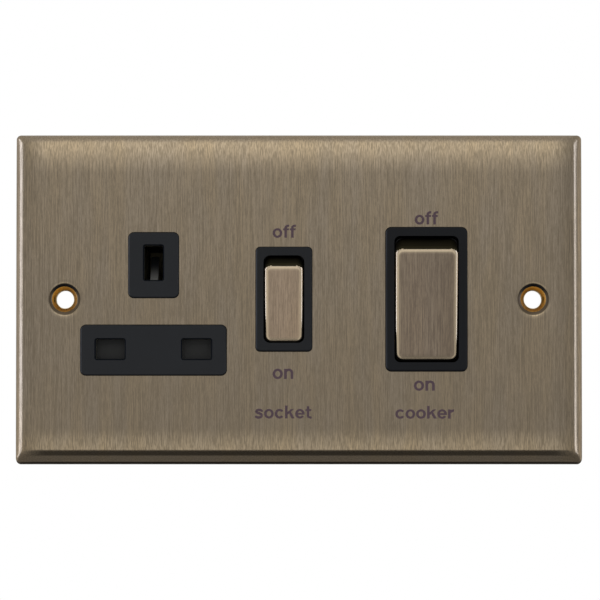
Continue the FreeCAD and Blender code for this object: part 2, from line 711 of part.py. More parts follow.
def clip(x, z, size, root_y, upright):
    """A folded contact: two leaves with flared ends on a web that stands on its bar."""
    gap, breadth = size
    flare = gap + CLIP_FLARE
    flat_y = CLIP_FRONT + CLIP_FLARE_LENGTH
    web_y = root_y - CLIP_THICKNESS
    outer = gap + CLIP_THICKNESS
    half_outline = [
        (flare, CLIP_FRONT), (flare + CLIP_THICKNESS, CLIP_FRONT), (outer, flat_y), (outer, root_y),
    ]
    inner_outline = [(gap, web_y), (gap, flat_y)]
    outline = half_outline + [(-u, y) for u, y in reversed(half_outline)]
    outline += [(-u, y) for u, y in reversed(inner_outline)] + inner_outline
    wire = Part.makePolygon([V(u, y, -breadth / 2) for u, y in outline + outline[:1]])
    folded = Part.Face(wire).extrude(V(0, 0, breadth))
    if not upright:
        folded.rotate(V(0, 0, 0), V(0, 1, 0), 90)
    folded.translate(V(x, 0, z))
    return folded


def terminal_places():
    """Name, X and side (+1 top, -1 bottom) of every terminal."""
    live, neutral = [COOKER_SWITCH["x"] + pole for pole in COOKER_SWITCH["poles"]]
    return (
        ("supply_live_terminal", live, -1), ("supply_neutral_terminal", neutral, -1),
        ("load_live_terminal", live, 1), ("load_neutral_terminal", neutral, 1),
        ("supply_earth_terminal", EARTH_TERMINAL_XS[0], 1),
        ("load_earth_terminal", EARTH_TERMINAL_XS[1], 1),
    )


def terminal(x, side):
    """A brass block with a wire bore from above or below and a screw hole from behind."""
    half = TERMINAL_WIDTH / 2
    z = side * TERMINAL_Z
    body = block(x - half, x + half, TERMINAL_FRONT, TERMINAL_BACK, z - half, z + half)
    bore_y = TERMINAL_FRONT + TERMINAL_BORE_DEPTH
    body = body.cut(rod(TERMINAL_BORE_R, V(x, bore_y, z - TERMINAL_WIDTH), V(x, bore_y, z + TERMINAL_WIDTH)))
    return body.cut(rod(TERMINAL_SCREW_HOLE_R, V(x, bore_y, z), V(x, TERMINAL_BACK + PAST, z)))


def slotted(head, centre, radius):
    """A driving slot cut across the back of a screw."""
    width, depth = SCREW_SLOT
    x, y, z = centre
    return head.cut(block(x - radius * 2, x + radius * 2, y - depth, y + PAST, z - width / 2, z + width / 2))


def terminal_screws():
    """One clamp screw for each terminal."""
    screws = []
    start = TERMINAL_FRONT + TERMINAL_BORE_DEPTH + TERMINAL_BORE_R
    end = TERMINAL_BACK + TERMINAL_SCREW_PROUD
    for _, x, side in terminal_places():
        z = side * TERMINAL_Z
        screw = rod(TERMINAL_SCREW_R, V(x, start, z), V(x, end, z))
        screws.append(slotted(screw, (x, end, z), TERMINAL_SCREW_R))
    return Part.makeCompound(screws)


def pillar_places():
    """The four corners where the base is screwed to the plate."""
    return [(end * PILLAR_X, side * PILLAR_Z) for end in (-1, 1) for side in (-1, 1)]


def plate_pillars():
    """Four tapped pillars set into the back of the plate."""
    pillars = []
    for x, z in pillar_places():
        pillar = rod(PILLAR_R, V(x, SHEET_BACK, z), V(x, PILLAR_END, z))
        bore = rod(SCREW_HOLE_R, V(x, PILLAR_END - PILLAR_BORE_DEPTH, z), V(x, PILLAR_END + PAST, z))
        pillars.append(pillar.cut(bore))
    return Part.makeCompound(pillars)


def assembly_screws():
    """Four screws from the back through cover and base into the pillars."""
    screws = []
    for x, z in pillar_places():
        shank = rod(SCREW_R, V(x, PILLAR_END - SCREW_GRIP, z), V(x, COVER_BACK, z))
        top = COVER_BACK + SCREW_HEAD_HEIGHT
        head = rod(SCREW_HEAD_R, V(x, COVER_BACK, z), V(x, top, z))
        screws.append(slotted(fused(shank, head), (x, top, z), SCREW_HEAD_R))
    return Part.makeCompound(screws)


def shutter_well():
    """The space in the base that the shutter, its ramp and its spring move in."""
    left, right, low, high = shutter_span()
    side = SHUTTER_WELL_GAP
    front, back = BASE_FRONT - PAST, BASE_FRONT + side + SHUTTER_THICKNESS
    travel_low = low - SHUTTER_TRAVEL - side
    bar = block(left - side, right + side, front, back, travel_low, high + side)
    stem_half = SHUTTER_STEM / 2 + side
    stem = block(SOCKET_X - stem_half, SOCKET_X + stem_half, front, back, high, EARTH_Z)
    finger_half = FINGER_WIDTH / 2 + side
    ramp_depth = FINGER_TOP - FINGER_BOTTOM + FINGER_THICKNESS
    finger = block(
        SOCKET_X - finger_half, SOCKET_X + finger_half, front, BASE_FRONT + ramp_depth + side * 2,
        EARTH_Z + FINGER_BOTTOM - SHUTTER_TRAVEL - FINGER_THICKNESS, EARTH_Z
    )
    seat_half = SPRING_SEAT[0] / 2 + side
    seat = block(
        SOCKET_X - seat_half, SOCKET_X + seat_half, front, BASE_FRONT + SPRING_SEAT_DEPTH + side,
        low - SPRING_SEAT[1] - SHUTTER_SPRING_LENGTH, low + PAST
    )
    return [bar, stem, finger, seat]


def clip_well(x, z, size, upright):
    """The shaft in the base round one contact clip, open into the tray at the back."""
    gap, breadth = size
    across = gap + CLIP_FLARE + CLIP_THICKNESS + CLIP_WELL_GAP
    along = breadth / 2 + CLIP_WELL_GAP
    half_x, half_z = (across, along) if upright else (along, across)
    return block(x - half_x, x + half_x, BASE_FRONT - PAST, BAR_LEVEL + PAST, z - half_z, z + half_z)


def switch_wells(switch):
    """The seat of a bezel in the base and the deeper well of its contacts."""
    x = switch["x"]
    width, height = switch["bezel"]
    back = switch["pivot_y"] + BEZEL_BACK
    seat = slab(
        x, 0, width + 2 * WELL_GAP, height + 2 * WELL_GAP, switch["bezel_r"], BASE_FRONT - PAST, back + WELL_GAP
    )
    well_width, well_height = switch["well"]
    well = block(
        x - well_width / 2, x + well_width / 2, BASE_FRONT, BAR_LEVEL + PAST, -well_height / 2, well_height / 2
    )
    return [seat, well]


def terminal_cell(x, side):
    """The cell of one terminal, open to the back and outwards, with a mouth for its bar."""
    half = TERMINAL_WIDTH / 2 + TERMINAL_GAP
    inner, outer = terminal_edge(1) - TERMINAL_GAP, BASE_HEIGHT / 2 + PAST
    low, high = sorted((side * inner, side * outer))
    cell = block(x - half, x + half, TERMINAL_FRONT - TERMINAL_FRONT_GAP, BASE_BACK + PAST, low, high)
    mouth_half = BAR_WIDTH / 2 + TERMINAL_GAP
    low, high = sorted((side * (TRAY_HALF_HEIGHT - PAST), side * (inner + PAST)))
    mouth = block(x - mouth_half, x + mouth_half, BAR_LEVEL, BASE_BACK + PAST, low, high)
    return [cell, mouth]


def rear_base():
    """The moulded base: wells from the front, a tray for the bars and cells at the back."""
    body = slab(0, 0, BASE_WIDTH, BASE_HEIGHT, BASE_CORNER_R, BASE_FRONT, BASE_BACK)
    tray = slab(
        0, 0, BASE_WIDTH - 2 * TRAY_WALL, 2 * TRAY_HALF_HEIGHT, TRAY_CORNER_R, BAR_LEVEL, BASE_BACK + PAST
    )
    cuts = [tray] + shutter_well()
    cuts.append(clip_well(SOCKET_X, EARTH_Z, EARTH_CLIP, True))
    for x in LINE_XS:
        cuts.append(clip_well(x, LINE_Z, LINE_CLIP, False))
    for switch in SWITCHES:
        cuts += switch_wells(switch)
    for _, x, side in terminal_places():
        cuts += terminal_cell(x, side)
    for x, z in pillar_places():
        cuts.append(rod(PILLAR_R + WELL_GAP, V(x, BASE_FRONT - PAST, z), V(x, PILLAR_END + WELL_GAP, z)))
        cuts.append(rod(SCREW_CLEARANCE_R, V(x, 0, z), V(x, BASE_BACK + PAST, z)))
    return body.cut(cuts).removeSplitter()


def rear_cover():
    """The flat insulating cover, with holes for the assembly and clamp screws."""
    body = slab(0, 0, BASE_WIDTH, BASE_HEIGHT, BASE_CORNER_R, BASE_BACK, COVER_BACK)
    cuts = []
    for x, z in pillar_places():
        cuts.append(rod(SCREW_CLEARANCE_R, V(x, BASE_BACK - PAST, z), V(x, COVER_BACK + PAST, z)))
    for _, x, side in terminal_places():
        z = side * TERMINAL_Z
        cuts.append(rod(TERMINAL_ACCESS_R, V(x, BASE_BACK - PAST, z), V(x, COVER_BACK + PAST, z)))
    return body.cut(cuts)


def switch_parts(prefix, switch, pole_names):
    """The moving and fixed pieces that both switches share."""
    parts = {
        prefix + "_switch_frame": switch_bezel(switch),
        prefix + "_rocker": rocker_body(switch),
        prefix + "_rocker_cap": rocker_cap(switch),
    }
    for name, pole in zip(pole_names, switch["poles"]):
        parts[name + "_plunger"] = plunger(switch, pole)
        parts[name + "_plunger_spring"] = plunger_spring(switch, pole)
        parts[name + "_rocking_contact"] = rocking_contact(switch, pole)
    return parts


def all_parts():
    """Every sub-part by node name."""
    live, neutral = COOKER_SWITCH["poles"]
    parts = {
        "front_plate": front_plate(),
        "socket_insert": socket_insert(),
        "rear_base": rear_base(),
        "rear_cover": rear_cover(),
        "plate_pillars": plate_pillars(),
        "assembly_screws": assembly_screws(),
        "shutter": shutter(),
        "shutter_spring": shutter_spring(),
        "earth_contact": clip(SOCKET_X, EARTH_Z, EARTH_CLIP, LINK_LEVEL, True),
        "live_contact": clip(LINE_XS[0], LINE_Z, LINE_CLIP, BAR_LEVEL, False),
        "neutral_contact": clip(LINE_XS[1], LINE_Z, LINE_CLIP, LINK_LEVEL, False),
        "supply_live_bar": supply_bar(COOKER_SWITCH, live),
        "supply_neutral_bar": supply_bar(COOKER_SWITCH, neutral),
        "load_live_bar": load_bar(COOKER_SWITCH, live),
        "load_neutral_bar": load_bar(COOKER_SWITCH, neutral),
        "socket_feed_bar": socket_feed_bar(),
        "socket_live_bar": socket_live_bar(),
        "neutral_link": neutral_link(),
        "earth_bar": earth_bar(),
        "terminal_screws": terminal_screws(),
    }
    for name, x, side in terminal_places():
        parts[name] = terminal(x, side)
    parts.update(switch_parts("socket", SOCKET_SWITCH, ("socket",)))
    parts.update(switch_parts("cooker", COOKER_SWITCH, ("cooker_live", "cooker_neutral")))
    return parts


os.makedirs("parts", exist_ok=True)
for node, shape in all_parts().items():
    shape.exportStep("parts/" + node + ".step")
    print(node, len(shape.Solids), shape.isValid(), round(shape.Volume, 1))
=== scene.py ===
import json
import math

import bmesh
import bpy
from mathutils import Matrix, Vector


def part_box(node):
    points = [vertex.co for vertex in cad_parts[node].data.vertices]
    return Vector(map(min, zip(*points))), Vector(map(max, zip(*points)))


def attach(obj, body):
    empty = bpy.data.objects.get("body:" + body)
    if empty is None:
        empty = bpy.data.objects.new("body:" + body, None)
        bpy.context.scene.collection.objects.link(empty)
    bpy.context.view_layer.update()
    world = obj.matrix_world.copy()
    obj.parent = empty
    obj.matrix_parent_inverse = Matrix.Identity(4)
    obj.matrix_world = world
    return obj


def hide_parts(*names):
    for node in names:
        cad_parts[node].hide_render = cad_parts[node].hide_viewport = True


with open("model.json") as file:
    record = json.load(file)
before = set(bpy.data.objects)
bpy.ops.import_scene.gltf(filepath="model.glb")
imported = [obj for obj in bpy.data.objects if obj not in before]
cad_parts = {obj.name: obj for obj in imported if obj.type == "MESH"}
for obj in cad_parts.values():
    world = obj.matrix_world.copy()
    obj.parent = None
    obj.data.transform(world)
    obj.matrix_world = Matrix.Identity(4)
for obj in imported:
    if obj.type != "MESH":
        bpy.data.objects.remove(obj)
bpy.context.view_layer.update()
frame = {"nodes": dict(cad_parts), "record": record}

# A flush cooker control unit seen from the front: vertically brushed antique brass plate,
# black socket insert and switch frames, metal skinned rockers and printed lettering.

MM = 0.001

# The photograph's frame and scale
PHOTO_SIZE = 600
PLATE_CENTRE_PX = (298.95, 299.9)
MM_PER_PX = 0.2587
CAMERA_DISTANCE = 0.9
CAMERA_ELEVATION = -2.0
SENSOR_MM = 36.0

# The plate and what lies on it, in millimetres
FACE_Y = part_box("front_plate")[0].y / MM
PLATE_HALF_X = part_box("front_plate")[1].x / MM
PLATE_HALF_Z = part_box("front_plate")[1].z / MM
SHEET_MM = 1.2
FIXING_X = 60.3
PRINT_LIFT = 0.012
PRINT_THICKNESS = 0.012
PRINT_STEP = 0.001
INK = (0.112, 0.072, 0.09)

# Steps of a quarter turn, a circle and the crown, and how the crown falls towards the edges
CORNER_STEPS = 10
CIRCLE_STEPS = 64
CROWN_STEPS = 16
CROWN_END = 10.0
SIDE_CROWN_END = 7.4
CROWN_EDGE = 1.5
CROWN_DROP = 0.66
SIDE_CROWN_DROP = 0.46
CROWN_CORNER_R = 4.0
# Extra points on the plate's straight sides, in millimetres from the corners
STATIONS = tuple(range(1, 12))

# Loops round the plate, from the wall to the crown: drop behind the crown, insets at the sides,
# the top and the bottom, and corner radius
PLATE_LOOPS = (
    (5.0, 0.0, 0.0, 0.0, 1.2), (3.9, 0.0, 0.0, 0.08, 1.2), (3.3, 0.0, 0.0, 0.22, 1.2),
    (2.75, 0.01, 0.01, 0.42, 1.2), (2.26, 0.07, 0.04, 0.58, 1.2), (1.83, 0.25, 0.1, 0.78, 1.2),
    (1.4, 0.55, 0.24, 1.17, 1.2), (1.05, 0.84, 0.41, 1.57, 1.2), (0.83, 1.04, 0.56, 1.83, 1.15),
    (0.66, 1.22, 0.71, 2.03, 1.1), (0.52, 1.39, 0.85, 2.2, 1.1), (0.4, 1.56, 1.0, 2.42, 1.1),
    (0.29, 1.75, 1.13, 2.7, 1.1), (0.19, 1.97, 1.28, 2.98, 1.1), (0.1, 2.2, 1.44, 3.28, 1.15),
    (0.04, 2.5, 1.62, 3.55, 1.2), (0.0, 2.85, 1.85, 3.85, 1.3),
)
# The same for the hidden inner side
INNER_LOOPS = (
    (5.0, 1.2, 1.2, 1.2, 0.5), (2.9, 1.2, 1.2, 1.2, 0.5), (2.0, 2.3, 2.3, 4.0, 1.0),
    (1.2, 10.0, 10.0, 10.0, 2.0),
)
# A fixing hole: its rolled lip, the lip's inner slope painted dark as shade and darker above as painted shadow,
# then its bare countersink, bore and collar, as radius and drop
LIP_RINGS = ((5.2, 0.0), (4.45, 0.0), (4.32, 0.015), (4.18, 0.045), (4.05, 0.08))
SHADE_RINGS = ((4.05, 0.08), (3.88, 0.13), (3.7, 0.19), (3.52, 0.26), (3.38, 0.33), (3.28, 0.41))
SINK_RINGS = (
    (3.28, 0.41), (3.16, 0.56), (2.86, 1.0), (2.56, 1.42), (2.38, 1.74), (2.3, 2.1), (2.3, 5.0), (4.4, 5.0),
    (4.4, 1.2),
)
# Cut-outs: centre and size across and up, and corner radius
CUTOUTS = (
    (-37.4, 8.775, 13.2, 17.1, 1.55), (-37.4, -13.105, 37.8, 13.2, 1.55),
    (-3.87, 0.0, 14.7, 27.1, 1.25), (32.8, 0.0, 21.2, 37.3, 1.55),
)
# Rocker skins: CAD node, body, centre, pivot, face size and height over the pivot, corner radii
ROCKER_SKINS = (
    ("socket_rocker_cap", "socket_rocker", -3.87, -0.3, (9.7, 19.98), 6.61, (1.6, 1.8)),
    ("cooker_rocker_cap", "cooker_rocker", 32.8, 0.5, (15.9, 29.1), 8.0, (1.9, 2.0)),
)
SKIN_TILT = 8.9
SKIN_THICKNESS = 0.8
SKIN_DEPTH = 5.0
# A skin's soft edge: depth behind its face and inset, the latter less at its low end
SKIN_EDGE = ((0.0, 0.66), (0.02, 0.5), (0.06, 0.35), (0.13, 0.23), (0.23, 0.13), (0.38, 0.04), (0.55, 0.0))
LOW_END_SHARE = 0.4
SKIN_WALL = (0.6, 1.2, 2.0, 2.8, 3.6, 4.4, 5.0)
# How far inside its face's upper end a skin is painted dark as shade
END_WALL_FROM = 0.44


def rounded_outline(left, right, low, high, radii, stations=()):
    """Points of a rounded rectangle, anticlockwise from the front, with its lower and upper radii.

    Extra points lie on the straight sides at the stations' distances from the corners."""
    low_r, high_r = radii
    corners = (
        (right - low_r, low + low_r, low_r, -90), (right - high_r, high - high_r, high_r, 0),
        (left + high_r, high - high_r, high_r, 90), (left + low_r, low + low_r, low_r, 180),
    )
    arcs = []
    for x, z, radius, start in corners:
        angles = [math.radians(start + 90 * step / CORNER_STEPS) for step in range(CORNER_STEPS + 1)]
        arcs.append([(x + radius * math.cos(a), z + radius * math.sin(a)) for a in angles])
    points = []
    for arc, following in zip(arcs, arcs[1:] + arcs[:1]):
        points += arc
        start, end = Vector(arc[-1]), Vector(following[0])
        along = (end - start).normalized()
        points += [tuple(start + along * station) for station in stations]
        points += [tuple(end - along * station) for station in reversed(stations)]
    return points


def crown_fall(x, z):
    """How far the plate's crown has fallen behind its flat face at a place."""
    to_side = (abs(x) - PLATE_HALF_X + SIDE_CROWN_END) / (SIDE_CROWN_END - CROWN_EDGE)
    to_end = (abs(z) - PLATE_HALF_Z + CROWN_END) / (CROWN_END - CROWN_EDGE)
    side, end = min(max(to_side, 0.0), 1.0), min(max(to_end, 0.0), 1.0)
    return SIDE_CROWN_DROP * side * side + CROWN_DROP * end * end


def plate_outline(side, top, low, radius):
    """The plate's outline, drawn in at its sides, its top and its bottom."""
    return rounded_outline(
        side - PLATE_HALF_X, PLATE_HALF_X - side, low - PLATE_HALF_Z, PLATE_HALF_Z - top,
        (radius, radius), STATIONS
    )


def plate_ring(drop, side, top, low, radius):
    """A loop round the plate that follows its crown, and less so towards the wall."""
    follows = 1 - drop / PLATE_LOOPS[0][0]
    return [
        (x, FACE_Y + drop + crown_fall(x, z) * follows, z)
        for x, z in plate_outline(side, top, low, radius)
    ]


def inner_ring(drop, side, top, low, radius):
    """A loop round the hidden inner side of the plate."""
    return [(x, FACE_Y + drop, z) for x, z in plate_outline(side, top, low, radius)]


def hole_ring(x, radius, drop):
    """Points of a circle round a fixing hole."""
    turns = [2 * math.pi * step / CIRCLE_STEPS for step in range(CIRCLE_STEPS)]
    return [(x + radius * math.cos(a), FACE_Y + drop, radius * math.sin(a)) for a in turns]


def crown_rings():
    """The last loops of the plate, over its crown to the flat face."""
    _, side, top, low, radius = PLATE_LOOPS[-1]
    rings = []
    for step in range(1, CROWN_STEPS + 1):
        t = step / CROWN_STEPS
        inset_side = side + (SIDE_CROWN_END - side) * t
        inset_top = top + (CROWN_END - top) * t
        inset_low = low + (CROWN_END - low) * t
        corner = radius + (CROWN_CORNER_R - radius) * t
        rings.append(plate_ring(0.0, inset_side, inset_top, inset_low, corner))
    return rings


class Shell:
    """A mesh that is built from closed loops of points, with a material number for what comes next."""

    def __init__(self):
        self.mesh = bmesh.new()
        self.tone = 0

    def loop(self, points):
        """Vertices at points given in millimetres."""
        return [self.mesh.verts.new([value * MM for value in point]) for point in points]

    def bridge(self, first, second):
        """Faces between two closed loops of as many points."""
        count = len(first)
        for i in range(count):
            j = (i + 1) % count
            face = self.mesh.faces.new((first[i], first[j], second[j], second[i]))
            face.material_index = self.tone

    def tube(self, rings):
        """Joins loops one after another, and gives the first and the last."""
        loops = [self.loop(points) for points in rings]
        for first, second in zip(loops, loops[1:]):
            self.bridge(first, second)
        return loops[0], loops[-1]

    def fill(self, outline, holes=()):
        """A flat face inside one loop and round the others."""
        edges = []
        for loop in [outline] + list(holes):
            for i in range(len(loop)):
                pair = (loop[i], loop[(i + 1) % len(loop)])
                edges.append(self.mesh.edges.get(pair) or self.mesh.edges.new(pair))
        made = bmesh.ops.triangle_fill(self.mesh, use_beauty=True, use_dissolve=False, edges=edges)
        for item in made["geom"]:
            if isinstance(item, bmesh.types.BMFace):
                item.material_index = self.tone

    def finish(self, name, sharp_degrees, materials):
        """The object made of the mesh, smooth but for the edges sharper than an angle."""
        bmesh.ops.remove_doubles(self.mesh, verts=self.mesh.verts, dist=1e-7)
        bmesh.ops.recalc_face_normals(self.mesh, faces=self.mesh.faces)
        data = bpy.data.meshes.new(name)
        self.mesh.to_mesh(data)
        self.mesh.free()
        for polygon in data.polygons:
            polygon.use_smooth = True
        data.set_sharp_from_angle(angle=math.radians(sharp_degrees))
        for material in materials:
            data.materials.append(material)
        made = bpy.data.objects.new(name, data)
        bpy.context.scene.collection.objects.link(made)
        return made


def add_plate(finished, raw, lip_shade):
    """The pressed plate, with a crown all round and rolled lips at its holes."""
    shell = Shell()
    first, face = shell.tube([plate_ring(*loop) for loop in PLATE_LOOPS] + crown_rings())
    shell.tone = 1
    inner_rim, back = shell.tube([inner_ring(*loop) for loop in INNER_LOOPS])
    shell.bridge(first, inner_rim)
    front_holes, back_holes = [], []
    for x in (-FIXING_X, FIXING_X):
        shell.tone = 0
        lip, _ = shell.tube([hole_ring(x, radius, drop) for radius, drop in LIP_RINGS])
        # The lip's inner slope takes the material painted dark as shade
        shell.tone = 2
        shell.tube([hole_ring(x, radius, drop) for radius, drop in SHADE_RINGS])
        shell.tone = 1
        _, collar = shell.tube([hole_ring(x, radius, drop) for radius, drop in SINK_RINGS])
        front_holes.append(lip)
        back_holes.append(collar)
    for x, z, width, height, radius in CUTOUTS:
        outline = rounded_outline(
            x - width / 2, x + width / 2, z - height / 2, z + height / 2, (radius, radius)
        )
        rings = [[(px, FACE_Y + drop, pz) for px, pz in outline] for drop in (0.0, SHEET_MM)]
        mouth, behind = shell.tube(rings)
        front_holes.append(mouth)
        back_holes.append(behind)
    shell.fill(back, back_holes)
    shell.tone = 0
    shell.fill(face, front_holes)
    plate = shell.finish("pressed_plate", 28, (finished, raw, lip_shade))
    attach(plate, "housing")
    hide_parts("front_plate")


def skin_ring(x, pivot, size, height, radii, depth, inset):
    """A loop round a rocker's skin at a depth behind its face, tilted to the on position."""
    reach = math.hypot(size[1] / 2, height)
    half = math.sqrt(reach * reach - (height - depth) * (height - depth))
    low, high = inset * LOW_END_SHARE - half, half - inset
    wide = size[0] / 2 - inset
    rounds = [max(radius - inset * 0.7, 0.3) for radius in radii]
    turn = math.radians(SKIN_TILT)
    points = []
    for across, up in rounded_outline(x - wide, x + wide, low, high, rounds):
        out = depth - height
        y = pivot + out * math.cos(turn) - up * math.sin(turn)
        points.append((across, y, out * math.sin(turn) + up * math.cos(turn)))
    return points


def add_rocker_skin(node, body, x, pivot, size, height, radii, materials):
    """The metal skin of a rocker: a flat face with a soft edge, and walls curved about the pivot."""
    def ring(depth, inset):
        return skin_ring(x, pivot, size, height, radii, depth, inset)

    shell = Shell()
    rim, _ = shell.tube([ring(depth, inset) for depth, inset in SKIN_EDGE])
    shell.fill(rim)
    _, lip = shell.tube([ring(depth, 0.0) for depth in SKIN_WALL])
    turn = math.radians(SKIN_TILT)
    for face in shell.mesh.faces:
        place = face.calc_center_median() / MM
        up = place.z * math.cos(turn) - (place.y - pivot) * math.sin(turn)
        past_x = max(abs(place.x - x) - size[0] / 2 + radii[1], 0.0)
        past_up = up - size[1] / 2 + radii[1]
        past = math.hypot(past_x, past_up)
        # The upper end wall takes the material painted dark as shade
        if past_up > 0 and past > radii[1] + 0.02 - END_WALL_FROM * (past_up / past) ** 2:
            face.material_index = 1
    shell.tone = 2
    inner_lip, inner = shell.tube([ring(SKIN_DEPTH, SKIN_THICKNESS), ring(SKIN_THICKNESS, SKIN_THICKNESS)])
    shell.bridge(lip, inner_lip)
    shell.fill(inner)
    skin = shell.finish(node + "_skin", 40, materials)
    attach(skin, body)
    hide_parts(node)


def new_group(name, inputs, outputs):
    """An empty shader group with its sockets, and its input and output nodes."""
    group = bpy.data.node_groups.new(name, "ShaderNodeTree")
    for label, kind, value in inputs:
        socket = group.interface.new_socket(name=label, in_out="INPUT", socket_type=kind)
        if value is not None:
            socket.default_value = value
    for label, kind in outputs:
        group.interface.new_socket(name=label, in_out="OUTPUT", socket_type=kind)
    return group, group.nodes.new("NodeGroupInput"), group.nodes.new("NodeGroupOutput")


class Net:
    """Short calls that add nodes to one node tree."""

    def __init__(self, tree):
        self.tree = tree

    def node(self, kind, **settings):
        made = self.tree.nodes.new(kind)
        for key, value in settings.items():
            setattr(made, key, value)
        return made

    def link(self, source, target):
        self.tree.links.new(source, target)

    def put(self, socket, value):
        if isinstance(value, bpy.types.NodeSocket):
            self.link(value, socket)
        else:
            socket.default_value = value

    def math(self, operation, a, b=0.0):
        made = self.node("ShaderNodeMath", operation=operation)
        self.put(made.inputs[0], a)
        self.put(made.inputs[1], b)
        return made.outputs[0]

    def mapped(self, value, low, high, to_low=0.0, to_high=1.0):
        made = self.node("ShaderNodeMapRange", interpolation_type="SMOOTHSTEP")
        for socket, content in zip(made.inputs, (value, low, high, to_low, to_high)):
            self.put(socket, content)
        return made.outputs[0]

    def mix(self, factor, a, b, blend="MIX"):
        made = self.node("ShaderNodeMix", data_type="RGBA", blend_type=blend)
        self.put(made.inputs[0], factor)
        self.put(made.inputs[6], a)
        self.put(made.inputs[7], b)
        return made.outputs[2]

    def noise(self, vector, scale, detail=2.0, roughness=0.5):
        made = self.node("ShaderNodeTexNoise")
        self.put(made.inputs["Vector"], vector)
        self.put(made.inputs["Scale"], scale)
        self.put(made.inputs["Detail"], detail)
        self.put(made.inputs["Roughness"], roughness)
        return made.outputs["Fac"]

    def stretched(self, vector, scale, offset=0.0):
        made = self.node("ShaderNodeMapping")
        self.put(made.inputs["Vector"], vector)
        self.put(made.inputs["Location"], (offset, offset, offset))
        self.put(made.inputs["Scale"], scale)
        return made.outputs[0]


def rgb(red, green, blue):
    return (red, green, blue, 1.0)


# Brush strokes of four kinds: length against the shortest, share and place in the noise
STROKE_KINDS = ((0.35, 0.14, 29.6), (1.0, 0.27, 0.0), (3.2, 0.34, 17.3), (9.0, 0.25, 41.9))


def brushing_group():
    """Fine vertical brush strokes of mixed lengths: a broad and a fine streak value and a height."""
    group, start, end = new_group(
        "vertical_brushing",
        [("Vector", "NodeSocketVector", None), ("Strokes per mm", "NodeSocketFloat", 5.0),
         ("Strokes per mm deep", "NodeSocketFloat", 5.0), ("Stroke length mm", "NodeSocketFloat", 2.4)],
        [("Broad", "NodeSocketFloat"), ("Fine", "NodeSocketFloat"), ("Height", "NodeSocketFloat")],
    )
    net = Net(group)
    across = net.math("MULTIPLY", start.outputs["Strokes per mm"], 1 / MM)
    deep = net.math("MULTIPLY", start.outputs["Strokes per mm deep"], 1 / MM)
    along = net.math("DIVIDE", 1 / MM, start.outputs["Stroke length mm"])
    scale = net.node("ShaderNodeCombineXYZ")
    net.link(across, scale.inputs[0])
    net.link(deep, scale.inputs[1])
    net.link(along, scale.inputs[2])
    space = net.node("ShaderNodeVectorMath", operation="MULTIPLY")
    net.link(start.outputs["Vector"], space.inputs[0])
    net.link(scale.outputs[0], space.inputs[1])
    fine = None
    for length, share, offset in STROKE_KINDS:
        strokes = net.noise(net.stretched(space.outputs[0], (1.0, 1.0, 1 / length), offset), 1.0, 1.0, 0.5)
        strokes = net.math("MULTIPLY", strokes, share)
        fine = net.math("ADD", fine, strokes) if fine else strokes
    broad = net.noise(net.stretched(space.outputs[0], (0.03, 0.03, 0.06), 5.7), 1.0, 2.0, 0.55)
    net.link(broad, end.inputs["Broad"])
    net.link(fine, end.inputs["Fine"])
    net.link(fine, end.inputs["Height"])
    return group


def grain_group():
    """Fine moulded grain: a tone value and a height."""
    group, start, end = new_group(
        "moulded_grain",
        [("Vector", "NodeSocketVector", None), ("Grain per mm", "NodeSocketFloat", 4.0)],
        [("Tone", "NodeSocketFloat"), ("Height", "NodeSocketFloat")],
    )
    net = Net(group)
    scale = net.math("MULTIPLY", start.outputs["Grain per mm"], 1 / MM)
    net.link(net.noise(start.outputs["Vector"], scale, 3.0, 0.6), end.inputs["Height"])
    coarse = net.math("MULTIPLY", scale, 0.06)
    net.link(net.noise(start.outputs["Vector"], coarse, 2.0, 0.5), end.inputs["Tone"])
    return group


GROUPS = {"brushing": brushing_group(), "grain": grain_group()}


def new_material(name, metallic, specular=0.5):
    """A material with its net, its Principled shader and its Object coordinates."""
    material = bpy.data.materials.new(name)
    material.use_nodes = True
    net = Net(material.node_tree)
    shader = material.node_tree.nodes["Principled BSDF"]
    shader.inputs["Metallic"].default_value = metallic
    shader.inputs["Specular IOR Level"].default_value = specular
    place = net.node("ShaderNodeTexCoord").outputs["Object"]
    return material, net, shader, place


def use_group(net, key, **values):
    """Places a shared group in a material, with its own values."""
    made = net.node("ShaderNodeGroup", node_tree=GROUPS[key])
    for label, value in values.items():
        net.put(made.inputs[label.replace("_", " ")], value)
    return made


def bump(net, shader, height, distance_mm):
    """Lifts a shader's surface by a height value."""
    made = net.node("ShaderNodeBump")
    made.inputs["Distance"].default_value = distance_mm * MM
    made.inputs["Strength"].default_value = 1.0
    net.link(height, made.inputs["Height"])
    net.link(made.outputs[0], shader.inputs["Normal"])


# How a rocker's face is painted light at its rim, as rubbed wear and a painted highlight: share, and the
# distances from its outline of full and no effect
RIM_STEPS = ((0.25, 0.5, 1.5), (0.85, 0.35, 0.95))


def rim_distance(net, place, x, pivot, size, corner):
    """Millimetres that a place on a tilted rocker face lies inside the face's rounded outline."""
    turn = math.radians(SKIN_TILT)

    def past_corner(direction, middle, half):
        along = net.node("ShaderNodeVectorMath", operation="DOT_PRODUCT")
        net.link(place, along.inputs[0])
        along.inputs[1].default_value = [value / MM for value in direction]
        off_middle = net.math("ABSOLUTE", net.math("SUBTRACT", along.outputs["Value"], middle))
        return net.math("SUBTRACT", off_middle, half - corner)

    across = past_corner((1.0, 0.0, 0.0), x, size[0] / 2)
    middle = -pivot * math.sin(turn) - END_WALL_FROM / 2
    up = past_corner((0.0, -math.sin(turn), math.cos(turn)), middle, (size[1] - END_WALL_FROM) / 2)
    outside = net.node("ShaderNodeCombineXYZ")
    net.link(net.math("MAXIMUM", across, 0.0), outside.inputs[0])
    net.link(net.math("MAXIMUM", up, 0.0), outside.inputs[1])
    length = net.node("ShaderNodeVectorMath", operation="LENGTH")
    net.link(outside.outputs[0], length.inputs[0])
    inside = net.math("MINIMUM", net.math("MAXIMUM", across, up), 0.0)
    return net.math("SUBTRACT", corner, net.math("ADD", length.outputs["Value"], inside))


